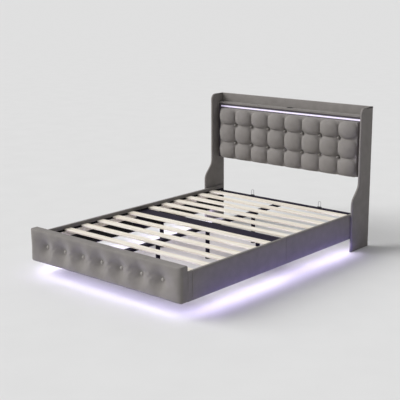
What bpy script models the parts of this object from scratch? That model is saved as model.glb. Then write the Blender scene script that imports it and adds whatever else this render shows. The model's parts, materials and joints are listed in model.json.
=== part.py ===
# A double bed whose upholstered rails float above the floor. A tufted headboard stands between two
# full-height wings, legs set well inside carry a slatted base, and LED strips light the floor.
# Metres, +Z up. +Y runs from the foot to the head, and left is -X, as seen from the foot.

import math

import bmesh
import bpy
from mathutils import Matrix, Vector

# Clearances and small finishing sizes
GAP = 0.0003
OVERRUN = 0.003
WELD = 0.00005
BOARD_EDGE = 0.0012
CLOTH_EDGE = 0.004
METAL_EDGE = 0.001

# Overall
RAIL_SPAN = 1.440
BED_LENGTH = 2.156
BED_HEIGHT = 1.095
RAIL_CLEARANCE = 0.100

# Side rails, in a front and a rear half that meet at a seam
RAIL_HEIGHT = 0.193
RAIL_THICKNESS = 0.025
SEAM_FROM_FOOT = 1.089
RAIL_END_SETBACK = 0.036

# Footboard: a core board in the back of a cushion, whose row of tufts lies in a shallow valley, and a
# return at each corner
FOOTBOARD_HEIGHT = 0.234
FOOTBOARD_THICKNESS = 0.064
FOOTBOARD_EDGE = 0.012
FOOTBOARD_END_LENGTH = 0.050
FOOTBOARD_END_DEPTH = 0.018
FOOTBOARD_CORE = 0.018
FOOTBOARD_WRAP = 0.012
FOOT_CORNER_LENGTH = 0.042
FOOT_TUFT_COUNT = 7
FOOT_TUFT_PITCH = 0.184
FOOT_TUFT_SHIFT = -0.015
FOOT_TUFT_DROP = 0.002
FOOT_TUFT_DEPTH = 0.024
FOOT_TUFT_SPREAD = 0.036
FOOT_TUFT_POWER = 1.6
FOOT_VALLEY_DEPTH = 0.006
FOOT_VALLEY_SPREAD = 0.050

# Slatted base
SLAT_SEAT_DROP = 0.035
SLAT_WIDTH = 0.060
SLAT_THICKNESS = 0.012
SLATS_PER_HALF = 6
SLAT_END_SPACE = 0.074
FRONT_SEAM_SPACE = 0.0157
REAR_SEAM_SPACE = 0.0107
CLEAT_HEIGHT = 0.040
CLEAT_THICKNESS = 0.020
CROSS_BEAM_WIDTH = 0.070
CROSS_BEAM_HEIGHT = 0.025
CENTRE_BEAM_WIDTH = 0.040
CENTRE_BEAM_HEIGHT = 0.022
TUBE_WALL = 0.0015
BRACKET_STEEL = 0.003
BRACKET_LEDGE = 0.040
BRACKET_FOOT = 0.012
HEAD_RAIL_SETBACK = 0.072
HEAD_RAIL_WIDTH = 0.030
HEAD_RAIL_HEIGHT = 0.025

# Wire hoops that stop the mattress
HOOP_OFFSET = 0.337
HOOP_WIDTH = 0.026
HOOP_HEIGHT = 0.054
HOOP_WIRE = 0.003
CLIP_MARGIN = 0.003
CLIP_DEPTH = 0.016
CLIP_HEIGHT = 0.008

# Legs and levelling feet
LEG_DIAMETER = 0.032
SIDE_LEG_FROM_RAIL = 0.225
FRONT_LEG_FROM_SEAM = 0.535
REAR_LEG_FROM_SEAM = 0.554
LEG_PLATE_STEEL = 0.004
SEAM_PLATE_WIDTH = 0.080
BEAM_PLATE_WIDTH = 0.060
FOOT_PAD_DIAMETER = 0.036
FOOT_PAD_HEIGHT = 0.010
STUD_DIAMETER = 0.010
STUD_LENGTH = 0.030

# Wings: a deep foot, an S-curve and a shallower top with a round front corner
WING_THICKNESS = 0.020
WING_FOOT_DEPTH = 0.2475
WING_TOP_DEPTH = 0.158
WING_CURVE_START = 0.355
WING_CURVE_HEIGHT = 0.190
WING_CORNER_RADIUS = 0.045

# Headboard: a box of boards with a shelf on top and a padded front
BACK_PANEL_BOTTOM = 0.550
BACK_PANEL_THICKNESS = 0.024
SHELF_DROP = 0.069
SHELF_THICKNESS = 0.015
SHELF_DEPTH = 0.0517
SHELF_OVERHANG = 0.003
FRONT_BOARD_THICKNESS = 0.015
BOTTOM_BOARD_THICKNESS = 0.015
LED_GROOVE_DROP = 0.013
LED_GROOVE_HEIGHT = 0.016
LED_GROOVE_DEPTH = 0.008
LED_SIDE_MARGIN = 0.025
LED_CHANNEL_WALL = 0.0012
PAD_SIDE_MARGIN = 0.046
PAD_TOP_SPACE = 0.005
PAD_BOTTOM_REVEAL = 0.001
PAD_THICKNESS = 0.057
PAD_BOARD_THICKNESS = 0.012
PAD_WRAP = 0.010
PAD_COLUMNS = 8
PAD_SEAM_DEPTH = 0.030
PAD_EDGE_DEPTH = 0.034

# Heights of the pad's rows from the bottom up, as shares of its height
PAD_ROW_SHARES = (0.331, 0.357, 0.312)

# Charging station let into the shelf
CHARGER_LENGTH = 0.046
CHARGER_LIP = 0.003
CHARGER_PLATE = 0.002
CHARGER_BODY_HEIGHT = 0.028
CHARGER_SIDE_SPACE = 0.001
CHARGER_CORNER = 0.004
PORT_WIDTH = 0.013
PORT_HEIGHT = 0.006
PORT_DEPTH = 0.010
PORT_PITCH = 0.018

# LED strips under the rails and the footboard, and their controller behind the head rail
STRIP_WIDTH = 0.010
STRIP_THICKNESS = 0.0025
STRIP_INSET = 0.002
STRIP_SETBACK = 0.016
STRIP_END_MARGIN = 0.030
CONTROLLER_OFFSET = 0.200
CONTROLLER_DROP = 0.007
CONTROLLER_LENGTH = 0.090
CONTROLLER_HEIGHT = 0.036
CONTROLLER_DEPTH = 0.020
INLET_WIDTH = 0.009
INLET_HEIGHT = 0.007
INLET_DEPTH = 0.008

# Sides, segments and cells of the round and padded shapes
EDGE_SEGMENTS = 2
CORNER_STEPS = 8
CURVE_STEPS = 18
ROUND_SIDES = 24
WIRE_STEPS = 10
FOOT_CELLS_ACROSS = 52
FOOT_CELLS_UP = 14
FOOT_ROUND_CELLS = 3
PAD_CELLS_PER_TUFT = 6
PAD_SQUARENESS = 2.4
PAD_CORNER_FILL = 0.6
PAD_FULLNESS = 0.5
FLAT_SHARE = 0.001
FLAT_ANGLE = math.radians(0.1)
SHARP_ANGLE = math.radians(30)

# Planes that several pieces share
FOOT_FACE = -BED_LENGTH / 2
HEAD_FACE = BED_LENGTH / 2
FOOT_BACK = FOOT_FACE + FOOTBOARD_THICKNESS
SEAM = FOOT_FACE + SEAM_FROM_FOOT
RAIL_OUTER = RAIL_SPAN / 2
RAIL_INNER = RAIL_OUTER - RAIL_THICKNESS
RAIL_TOP = RAIL_CLEARANCE + RAIL_HEIGHT
RAIL_BACK = HEAD_FACE - RAIL_END_SETBACK
SEAT = RAIL_TOP - SLAT_SEAT_DROP
BETWEEN_RAILS = RAIL_INNER - GAP
FRONT_BEAM_FACE = SEAM - GAP - CROSS_BEAM_WIDTH
REAR_BEAM_FACE = SEAM + GAP + CROSS_BEAM_WIDTH
HEAD_RAIL_BACK = HEAD_FACE - HEAD_RAIL_SETBACK
HEAD_RAIL_FRONT = HEAD_RAIL_BACK - HEAD_RAIL_WIDTH
HEAD_RAIL_MIDDLE = (HEAD_RAIL_BACK + HEAD_RAIL_FRONT) / 2
BACK_PANEL_FACE = HEAD_FACE - BACK_PANEL_THICKNESS
SHELF_TOP = BED_HEIGHT - SHELF_DROP
SHELF_UNDERSIDE = SHELF_TOP - SHELF_THICKNESS
SHELF_FRONT = BACK_PANEL_FACE - GAP - SHELF_DEPTH
FRONT_BOARD_FACE = SHELF_FRONT + SHELF_OVERHANG
FRONT_BOARD_BACK = FRONT_BOARD_FACE + FRONT_BOARD_THICKNESS
LED_GROOVE_TOP = SHELF_UNDERSIDE - LED_GROOVE_DROP
LED_GROOVE_BOTTOM = LED_GROOVE_TOP - LED_GROOVE_HEIGHT
LED_HALF_LENGTH = RAIL_OUTER - LED_SIDE_MARGIN
PAD_HALF_WIDTH = RAIL_OUTER - PAD_SIDE_MARGIN
PAD_BOTTOM = BACK_PANEL_BOTTOM + PAD_BOTTOM_REVEAL
PAD_TOP = LED_GROOVE_BOTTOM - PAD_TOP_SPACE
PAD_BACK = FRONT_BOARD_FACE - GAP
PAD_FRONT = PAD_BACK - PAD_THICKNESS

# Colour, roughness and metallic value of each finish
FINISHES = {
    "grey cloth": ("#8A8784", 0.95, 0.0),
    "pale timber": ("#E8E2D6", 0.60, 0.0),
    "plywood": ("#C9AE86", 0.70, 0.0),
    "black steel": ("#1C1C1E", 0.50, 0.8),
    "wire steel": ("#98989C", 0.30, 1.0),
    "aluminium": ("#B9BCC0", 0.35, 1.0),
    "black plastic": ("#17171A", 0.45, 0.0),
    "diffuser": ("#F1EAFB", 0.30, 0.0),
}
CUTTERS = "Cutters"
PARTS = "Floating bed"


# The scene and its two collections
def clear_scene():
    for existing in list(bpy.data.objects):
        bpy.data.objects.remove(existing, do_unlink=True)
    for name in (PARTS, CUTTERS):
        bpy.context.scene.collection.children.link(bpy.data.collections.new(name))


def linear(hex_colour):
    channels = [int(hex_colour[start : start + 2], 16) / 255 for start in (1, 3, 5)]
    return [c / 12.92 if c <= 0.04045 else ((c + 0.055) / 1.055) ** 2.4 for c in channels]


def finish_piece(piece, finish):
    colour, roughness, metallic = FINISHES[finish]
    material = bpy.data.materials.new(piece.name + " " + finish)
    material.use_nodes = True
    shader = material.node_tree.nodes["Principled BSDF"]
    shader.inputs["Base Color"].default_value = (*linear(colour), 1)
    shader.inputs["Roughness"].default_value = roughness
    shader.inputs["Metallic"].default_value = metallic
    piece.data.materials.append(material)
    return piece


def add_object(name, data, location, collection=PARTS):
    added = bpy.data.objects.new(name, data)
    added.location = location
    bpy.data.collections[collection].objects.link(added)
    if collection == CUTTERS:
        added.hide_render = True
        added.display_type = "WIRE"
    return added


def mesh_from(name, shape):
    mesh = bpy.data.meshes.new(name)
    shape.to_mesh(mesh)
    shape.free()
    return mesh


# Boards, bars and other pieces with flat faces
def block(name, low, high, collection=PARTS):
    low = Vector(low)
    high = Vector(high)
    shape = bmesh.new()
    bmesh.ops.create_cube(shape, size=1, matrix=Matrix.Diagonal((*(high - low), 1)))
    return add_object(name, mesh_from(name, shape), (low + high) / 2, collection)


def soften(piece, width, segments=1):
    bevel = piece.modifiers.new("Eased edges", "BEVEL")
    bevel.width = width
    bevel.segments = segments
    bevel.limit_method = "ANGLE"
    bevel.angle_limit = SHARP_ANGLE
    return piece


def board(name, low, high, finish, edge=BOARD_EDGE, segments=1):
    return finish_piece(soften(block(name, low, high), edge, segments), finish)


def ordered(side, near, far):
    return sorted((side * near, side * far))


# Round pieces
def cylinder(name, radius, bottom, top, location, collection=PARTS):
    shape = bmesh.new()
    bmesh.ops.create_cone(
        shape,
        cap_ends=True,
        segments=ROUND_SIDES,
        radius1=radius,
        radius2=radius,
        depth=top - bottom,
        matrix=Matrix.Translation((0, 0, (top + bottom) / 2)),
    )
    return add_object(name, mesh_from(name, shape), location, collection)


def smooth(piece):
    piece.data.shade_smooth()
    piece.data.set_sharp_from_angle(angle=SHARP_ANGLE)
    return piece


def combine(piece, other, operation):
    step = piece.modifiers.new(operation.title(), "BOOLEAN")
    step.operation = operation
    step.object = other
    return piece


# A curve made a mesh, with its caps joined to its sides and each flat face left whole
def meshed(curve_piece):
    bpy.context.view_layer.update()
    graph = bpy.context.evaluated_depsgraph_get()
    name = curve_piece.name
    mesh = bpy.data.meshes.new_from_object(curve_piece.evaluated_get(graph))
    shape = bmesh.new()
    shape.from_mesh(mesh)
    bmesh.ops.remove_doubles(shape, verts=shape.verts, dist=WELD)
    bmesh.ops.dissolve_limit(
        shape, angle_limit=FLAT_ANGLE, verts=shape.verts, edges=shape.edges
    )
    bmesh.ops.recalc_face_normals(shape, faces=shape.faces)
    shape.to_mesh(mesh)
    shape.free()
    placed = curve_piece.matrix_world.copy()
    bpy.data.objects.remove(curve_piece)
    piece = add_object(name, mesh, placed.to_translation())
    piece.matrix_world = placed
    return piece


# A flat outline of (y, z) points, given its thickness along X
def flat_piece(name, outline, thickness, location):
    curve = bpy.data.curves.new(name, "CURVE")
    curve.dimensions = "2D"
    curve.fill_mode = "BOTH"
    curve.extrude = thickness / 2
    line = curve.splines.new("POLY")
    line.points.add(len(outline) - 1)
    for point, (across, up) in zip(line.points, outline):
        point.co = (across, up, 0, 1)
    line.use_cyclic_u = True
    piece = add_object(name, curve, location)
    piece.rotation_euler = (math.radians(90), 0, math.radians(90))
    return meshed(piece)


# A padded front: a grid of cells placed by a formula, with sides that run straight to a flat back
def padded_piece(name, across, up, place, back):
    shape = bmesh.new()
    bmesh.ops.create_grid(shape, x_segments=across, y_segments=up, size=1)
    for vertex in shape.verts:
        vertex.co = place((vertex.co.x + 1) / 2, (vertex.co.y + 1) / 2)
    rim = [edge for edge in shape.edges if edge.is_boundary]
    sides = bmesh.ops.extrude_edge_only(shape, edges=rim)["geom"]
    for vertex in sides:
        if isinstance(vertex, bmesh.types.BMVert):
            vertex.co.y = back
    bmesh.ops.holes_fill(shape, edges=shape.edges, sides=0)
    bmesh.ops.recalc_face_normals(shape, faces=shape.faces)
    return smooth(add_object(name, mesh_from(name, shape), (0, 0, 0)))


# Where a share of the way along a length lies, when its two ends turn through a quarter circle.
# It gives the distance along the length and the cosine of the turn.
def rounded_run(share, length, radius, round_share):
    near = min(share, 1 - share)
    if near >= round_share:
        run = (near - round_share) / (0.5 - round_share) * (length / 2 - radius)
        distance = radius + run
        turn = 1
    else:
        angle = (1 - near / round_share) * math.pi / 2
        distance = radius * (1 - math.sin(angle))
        turn = math.cos(angle)
    return (distance if share <= 0.5 else length - distance), turn


# Wings
def wing_outline():
    outline = [(0, 0), (-WING_FOOT_DEPTH, 0)]
    for step in range(CURVE_STEPS + 1):
        share = step / CURVE_STEPS
        drawn_back = share - math.sin(2 * math.pi * share) / (2 * math.pi)
        depth = WING_FOOT_DEPTH + (WING_TOP_DEPTH - WING_FOOT_DEPTH) * drawn_back
        outline.append((-depth, WING_CURVE_START + WING_CURVE_HEIGHT * share))
    for step in range(CORNER_STEPS + 1):
        angle = math.pi / 2 * step / CORNER_STEPS
        outline.append(
            (
                WING_CORNER_RADIUS * (1 - math.cos(angle)) - WING_TOP_DEPTH,
                BED_HEIGHT - WING_CORNER_RADIUS * (1 - math.sin(angle)),
            )
        )
    outline.append((0, BED_HEIGHT))
    return outline


def make_wings():
    centre = RAIL_OUTER + GAP + WING_THICKNESS / 2
    for side, name in ((-1, "left_wing"), (1, "right_wing")):
        wing = flat_piece(name, wing_outline(), WING_THICKNESS, (side * centre, HEAD_FACE, 0))
        finish_piece(smooth(soften(wing, CLOTH_EDGE, EDGE_SEGMENTS)), "grey cloth")


# Boards of the headboard
def make_headboard_box():
    board(
        "headboard_back_panel",
        (-RAIL_OUTER, BACK_PANEL_FACE, BACK_PANEL_BOTTOM),
        (RAIL_OUTER, HEAD_FACE, BED_HEIGHT),
        "grey cloth",
        CLOTH_EDGE,
        EDGE_SEGMENTS,
    )
    board(
        "headboard_bottom_board",
        (-RAIL_OUTER, FRONT_BOARD_BACK + GAP, BACK_PANEL_BOTTOM),
        (RAIL_OUTER, BACK_PANEL_FACE - GAP, BACK_PANEL_BOTTOM + BOTTOM_BOARD_THICKNESS),
        "grey cloth",
    )
    front = board(
        "headboard_front_board",
        (-RAIL_OUTER, FRONT_BOARD_FACE, BACK_PANEL_BOTTOM),
        (RAIL_OUTER, FRONT_BOARD_BACK, SHELF_UNDERSIDE - GAP),
        "grey cloth",
    )
    groove = block(
        "led_groove",
        (-LED_HALF_LENGTH - GAP, FRONT_BOARD_FACE - OVERRUN, LED_GROOVE_BOTTOM),
        (LED_HALF_LENGTH + GAP, FRONT_BOARD_FACE + LED_GROOVE_DEPTH, LED_GROOVE_TOP),
        CUTTERS,
    )
    combine(front, groove, "DIFFERENCE")


def make_shelf():
    shelf = board(
        "headboard_shelf",
        (-RAIL_OUTER, SHELF_FRONT, SHELF_UNDERSIDE),
        (RAIL_OUTER, BACK_PANEL_FACE - GAP, SHELF_TOP),
        "grey cloth",
    )
    low, high = charger_body_box()
    hole = block(
        "charger_hole",
        (low.x - GAP, low.y - GAP, SHELF_UNDERSIDE - OVERRUN),
        (high.x + GAP, high.y + GAP, SHELF_TOP + OVERRUN),
        CUTTERS,
    )
    combine(shelf, hole, "DIFFERENCE")


# The headboard's LED line: a metal channel in the groove and a lit strip in the channel
def make_headboard_led():
    floor = FRONT_BOARD_FACE + LED_GROOVE_DEPTH - GAP
    low = Vector((-LED_HALF_LENGTH, FRONT_BOARD_FACE, LED_GROOVE_BOTTOM + GAP))
    high = Vector((LED_HALF_LENGTH, floor, LED_GROOVE_TOP - GAP))
    channel = finish_piece(block("headboard_led_channel", low, high), "aluminium")
    wall = Vector((0, 0, LED_CHANNEL_WALL))
    inner_low = low + wall
    inner_high = high - wall
    inner_high.y = floor - LED_CHANNEL_WALL
    overrun = Vector((OVERRUN, OVERRUN, 0))
    slot = block("led_slot", inner_low - overrun, (high.x + OVERRUN, inner_high.y, inner_high.z), CUTTERS)
    combine(channel, slot, "DIFFERENCE")
    clearance = Vector((0, 0, GAP))
    strip_high = inner_high - clearance
    strip_high.y = inner_high.y - GAP
    finish_piece(block("headboard_led_strip", inner_low + clearance, strip_high), "diffuser")


# The headboard's pad over its backing board. Each tuft is a dome with a rounded square outline.
def from_middle(share, edges):
    cell = max(index for index in range(len(edges) - 1) if edges[index] <= share)
    middle = (edges[cell] + edges[cell + 1]) / 2
    half = (edges[cell + 1] - edges[cell]) / 2
    return min(1, abs(share - middle) / half)


def make_headboard_pad():
    columns = [index / PAD_COLUMNS for index in range(PAD_COLUMNS + 1)]
    rows = [sum(PAD_ROW_SHARES[:index]) / sum(PAD_ROW_SHARES) for index in range(len(PAD_ROW_SHARES) + 1)]

    def place(across, up):
        cell = min(len(PAD_ROW_SHARES) - 1, int(up * len(PAD_ROW_SHARES)))
        up_share = rows[cell] + (up * len(PAD_ROW_SHARES) - cell) * (rows[cell + 1] - rows[cell])
        out_across = from_middle(min(1, across), columns) ** PAD_SQUARENESS
        out_up = from_middle(min(1, up_share), rows) ** PAD_SQUARENESS
        inside = 1 - out_across - out_up + PAD_CORNER_FILL * out_across * out_up
        rise = max(0, inside) ** PAD_FULLNESS
        on_rim = min(across, 1 - across, up_share, 1 - up_share) < FLAT_SHARE
        drawn_in = (PAD_EDGE_DEPTH if on_rim else PAD_SEAM_DEPTH) * (1 - rise)
        return (
            PAD_HALF_WIDTH * (2 * across - 1),
            PAD_FRONT + drawn_in,
            PAD_BOTTOM + (PAD_TOP - PAD_BOTTOM) * up_share,
        )

    across = PAD_COLUMNS * PAD_CELLS_PER_TUFT
    up = len(PAD_ROW_SHARES) * PAD_CELLS_PER_TUFT
    pad = finish_piece(padded_piece("headboard_pad", across, up, place, PAD_BACK), "grey cloth")
    low = Vector((-PAD_HALF_WIDTH + PAD_WRAP, PAD_BACK - PAD_BOARD_THICKNESS, PAD_BOTTOM + PAD_WRAP))
    high = Vector((PAD_HALF_WIDTH - PAD_WRAP, PAD_BACK, PAD_TOP - PAD_WRAP))
    seat_in_pocket("pad_pocket", pad, low, high)
    board("headboard_pad_board", low, high, "plywood")


# A pocket in a cushion's back face, one gap larger than the board that lies in it
def seat_in_pocket(name, cushion, low, high):
    around = Vector((GAP, GAP, GAP))
    far = high + around
    far.y = high.y + OVERRUN
    combine(cushion, block(name, low - around, far, CUTTERS), "DIFFERENCE")


# Charging station: a lipped plate on the shelf, and a body with two ports that hangs through it
def charger_body_box():
    half = CHARGER_LENGTH / 2 - CHARGER_LIP
    top = SHELF_TOP + GAP + CHARGER_PLATE / 2
    low = Vector((-half, FRONT_BOARD_BACK + CHARGER_SIDE_SPACE, top - CHARGER_BODY_HEIGHT))
    high = Vector((half, BACK_PANEL_FACE - GAP - CHARGER_LIP, top))
    return low, high


def make_charging_station():
    low, high = charger_body_box()
    lip = Vector((CHARGER_LIP, CHARGER_LIP, 0))
    plate_low = low - lip
    plate_low.z = SHELF_TOP + GAP
    plate_high = high + lip
    plate_high.z = SHELF_TOP + GAP + CHARGER_PLATE
    station = block("charging_station", plate_low, plate_high)
    round_corners(station, CHARGER_CORNER)
    combine(station, block("charger_body", low, high, CUTTERS), "UNION")
    middle = (low.y + high.y) / 2
    for side in (-1, 1):
        across = side * PORT_PITCH / 2
        port = block(
            "charger_port",
            (across - PORT_WIDTH / 2, middle - PORT_HEIGHT / 2, plate_high.z - PORT_DEPTH),
            (across + PORT_WIDTH / 2, middle + PORT_HEIGHT / 2, plate_high.z + OVERRUN),
            CUTTERS,
        )
        combine(station, port, "DIFFERENCE")
    finish_piece(station, "black plastic")


# Round the four upright edges of a block
def round_corners(piece, radius):
    shape = bmesh.new()
    shape.from_mesh(piece.data)
    upright = [
        edge
        for edge in shape.edges
        if (edge.verts[0].co - edge.verts[1].co).xy.length < WELD
    ]
    bmesh.ops.bevel(
        shape, geom=upright, offset=radius, segments=CORNER_STEPS // 2, profile=0.5, affect="EDGES"
    )
    shape.to_mesh(piece.data)
    shape.free()


# Footboard
def make_footboard():
    left = FOOT_TUFT_SHIFT - FOOT_TUFT_PITCH * (FOOT_TUFT_COUNT - 1) / 2
    tufts = [left + FOOT_TUFT_PITCH * index for index in range(FOOT_TUFT_COUNT)]
    tuft_height = RAIL_CLEARANCE + FOOTBOARD_HEIGHT / 2 - FOOT_TUFT_DROP

    def place(across, up):
        along, turn_across = rounded_run(
            across, RAIL_SPAN, FOOTBOARD_END_LENGTH, FOOT_ROUND_CELLS / FOOT_CELLS_ACROSS
        )
        height, turn_up = rounded_run(
            up, FOOTBOARD_HEIGHT, FOOTBOARD_EDGE, FOOT_ROUND_CELLS / FOOT_CELLS_UP
        )
        x = along - RAIL_SPAN / 2
        z = RAIL_CLEARANCE + height
        sunk = FOOT_VALLEY_DEPTH * math.exp(-(((z - tuft_height) / FOOT_VALLEY_SPREAD) ** 2))
        for tuft in tufts:
            away = math.hypot(x - tuft, z - tuft_height) / FOOT_TUFT_SPREAD
            sunk += FOOT_TUFT_DEPTH * math.exp(-(away**FOOT_TUFT_POWER))
        rounding = FOOTBOARD_END_DEPTH * (1 - turn_across) + FOOTBOARD_EDGE * (1 - turn_up)
        return x, FOOT_FACE + rounding + sunk * turn_across * turn_up, z

    cushion = padded_piece("footboard_cushion", FOOT_CELLS_ACROSS, FOOT_CELLS_UP, place, FOOT_BACK)
    finish_piece(cushion, "grey cloth")
    low = Vector((
        -RAIL_OUTER + FOOTBOARD_WRAP, FOOT_BACK - FOOTBOARD_CORE, RAIL_CLEARANCE + FOOTBOARD_WRAP
    ))
    high = Vector((
        RAIL_OUTER - FOOTBOARD_WRAP, FOOT_BACK, RAIL_CLEARANCE + FOOTBOARD_HEIGHT - FOOTBOARD_WRAP
    ))
    seat_in_pocket("footboard_pocket", cushion, low, high)
    board("footboard_board", low, high, "plywood")


# Side rails, their corner returns at the foot, the cleats and the seam brackets
def make_sides():
    corner_front = FOOT_BACK + GAP
    rail_front = corner_front + FOOT_CORNER_LENGTH + GAP
    pieces = (
        ("foot_corner", corner_front, corner_front + FOOT_CORNER_LENGTH),
        ("rail_front", rail_front, SEAM - GAP / 2),
        ("rail_rear", SEAM + GAP / 2, RAIL_BACK),
    )
    cleats = (
        ("cleat_front", FOOT_BACK + GAP, FRONT_BEAM_FACE - GAP),
        ("cleat_rear", REAR_BEAM_FACE + GAP, HEAD_RAIL_FRONT - GAP),
    )
    for side, word in ((-1, "left"), (1, "right")):
        inner, outer = ordered(side, RAIL_INNER, RAIL_OUTER)
        for name, front, back in pieces:
            board(
                name + "_" + word,
                (inner, front, RAIL_CLEARANCE),
                (outer, back, RAIL_TOP),
                "grey cloth",
                CLOTH_EDGE,
                EDGE_SEGMENTS,
            )
        near, far = ordered(side, RAIL_INNER - GAP - CLEAT_THICKNESS, RAIL_INNER - GAP)
        for name, front, back in cleats:
            board(
                name + "_" + word,
                (near, front, SEAT - CLEAT_HEIGHT),
                (far, back, SEAT),
                "pale timber",
            )
        make_seam_bracket(side, word)


# An angle bracket across the seam, with a ledge that both cross beams lie on
def make_seam_bracket(side, word):
    top = SEAT - CROSS_BEAM_HEIGHT - GAP
    bottom = RAIL_CLEARANCE + BRACKET_FOOT
    near, far = ordered(side, BETWEEN_RAILS - BRACKET_STEEL, BETWEEN_RAILS)
    plate = block(
        "rail_join_bracket_" + word,
        (near, SEAM - CROSS_BEAM_WIDTH, bottom),
        (far, SEAM + CROSS_BEAM_WIDTH, top),
    )
    ledge_near, ledge_far = ordered(side, BETWEEN_RAILS - BRACKET_LEDGE, BETWEEN_RAILS)
    ledge = block(
        "bracket_ledge",
        (ledge_near, SEAM - CROSS_BEAM_WIDTH, top - BRACKET_STEEL),
        (ledge_far, SEAM + CROSS_BEAM_WIDTH, top),
        CUTTERS,
    )
    finish_piece(combine(plate, ledge, "UNION"), "black steel")


# Beams inside the rails: rectangular steel tubes with open ends, which lie against their neighbours.
# The cross beams and the head rail run along X, and the centre beams along Y.
def make_beams():
    half = CENTRE_BEAM_WIDTH / 2
    bars = (
        ("centre_beam_front", half, FOOT_BACK + GAP, FRONT_BEAM_FACE - GAP, CENTRE_BEAM_HEIGHT),
        ("centre_beam_rear", half, REAR_BEAM_FACE + GAP, HEAD_RAIL_FRONT - GAP, CENTRE_BEAM_HEIGHT),
        ("cross_beam_front", BETWEEN_RAILS, FRONT_BEAM_FACE, SEAM - GAP, CROSS_BEAM_HEIGHT),
        ("cross_beam_rear", BETWEEN_RAILS, SEAM + GAP, REAR_BEAM_FACE, CROSS_BEAM_HEIGHT),
        ("head_cross_rail", BETWEEN_RAILS, HEAD_RAIL_FRONT, HEAD_RAIL_BACK, HEAD_RAIL_HEIGHT),
    )
    for name, reach, front, back, height in bars:
        low = Vector((-reach, front, SEAT - height))
        high = Vector((reach, back, SEAT))
        tube = board(name, low, high, "black steel", METAL_EDGE)
        wall = Vector((TUBE_WALL, TUBE_WALL, TUBE_WALL))
        if name.startswith("centre"):
            wall.y = -OVERRUN
        else:
            wall.x = -OVERRUN
        combine(tube, block("tube_bore", low + wall, high - wall, CUTTERS), "DIFFERENCE")


# Slats, spread evenly in each half of the base
def make_slats():
    first_front = FOOT_BACK + SLAT_END_SPACE
    last_front = FRONT_BEAM_FACE - FRONT_SEAM_SPACE - SLAT_WIDTH
    first_rear = REAR_BEAM_FACE + REAR_SEAM_SPACE
    last_rear = HEAD_RAIL_FRONT - SLAT_END_SPACE - SLAT_WIDTH
    bottom = SEAT + GAP
    number = 0
    for first, last in ((first_front, last_front), (first_rear, last_rear)):
        for index in range(SLATS_PER_HALF):
            number += 1
            front = first + (last - first) * index / (SLATS_PER_HALF - 1)
            board(
                f"slat_{number:02d}",
                (-BETWEEN_RAILS, front, bottom),
                (BETWEEN_RAILS, front + SLAT_WIDTH, bottom + SLAT_THICKNESS),
                "pale timber",
            )


# Legs, each a tube with a top plate and a threaded bore, and the levelling foot screwed into it
def make_leg(name, across, along, beam_height, plate_width):
    top = SEAT - beam_height - GAP
    bottom = FOOT_PAD_HEIGHT + GAP
    place = (across, along, 0)
    leg = cylinder("leg_" + name, LEG_DIAMETER / 2, bottom, top - LEG_PLATE_STEEL / 2, place)
    half = plate_width / 2
    plate = block(
        "leg_plate",
        (across - half, along - half, top - LEG_PLATE_STEEL),
        (across + half, along + half, top),
        CUTTERS,
    )
    bore = cylinder(
        "leg_bore", STUD_DIAMETER / 2 + GAP, bottom - OVERRUN, bottom + STUD_LENGTH, place, CUTTERS
    )
    combine(combine(leg, plate, "UNION"), bore, "DIFFERENCE")
    finish_piece(smooth(leg), "black steel")
    make_levelling_foot("levelling_foot_" + name, place)


# The foot's profile runs from the stud's top down its outer side to the centre of the pad
def make_levelling_foot(name, place):
    stud = STUD_DIAMETER / 2
    pad = FOOT_PAD_DIAMETER / 2
    profile = (
        (0, FOOT_PAD_HEIGHT + STUD_LENGTH),
        (stud, FOOT_PAD_HEIGHT + STUD_LENGTH),
        (stud, FOOT_PAD_HEIGHT),
        (pad - METAL_EDGE, FOOT_PAD_HEIGHT),
        (pad, FOOT_PAD_HEIGHT - METAL_EDGE),
        (pad, METAL_EDGE),
        (pad - METAL_EDGE, 0),
        (0, 0),
    )
    mesh = bpy.data.meshes.new(name)
    points = [(radius, 0, height) for radius, height in profile]
    mesh.from_pydata(points, [(i, i + 1) for i in range(len(points) - 1)], [])
    foot = add_object(name, mesh, place)
    turn = foot.modifiers.new("Turned", "SCREW")
    turn.steps = ROUND_SIDES
    turn.render_steps = ROUND_SIDES
    turn.use_merge_vertices = True
    turn.merge_threshold = WELD
    finish_piece(foot, "black plastic")


def make_legs():
    side_leg = RAIL_INNER - SIDE_LEG_FROM_RAIL
    make_leg("front", 0, SEAM - FRONT_LEG_FROM_SEAM, CENTRE_BEAM_HEIGHT, BEAM_PLATE_WIDTH)
    make_leg("rear", 0, SEAM + REAR_LEG_FROM_SEAM, CENTRE_BEAM_HEIGHT, BEAM_PLATE_WIDTH)
    make_leg("middle", 0, SEAM, CROSS_BEAM_HEIGHT, SEAM_PLATE_WIDTH)
    make_leg("middle_left", -side_leg, SEAM, CROSS_BEAM_HEIGHT, SEAM_PLATE_WIDTH)
    make_leg("middle_right", side_leg, SEAM, CROSS_BEAM_HEIGHT, SEAM_PLATE_WIDTH)


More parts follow.
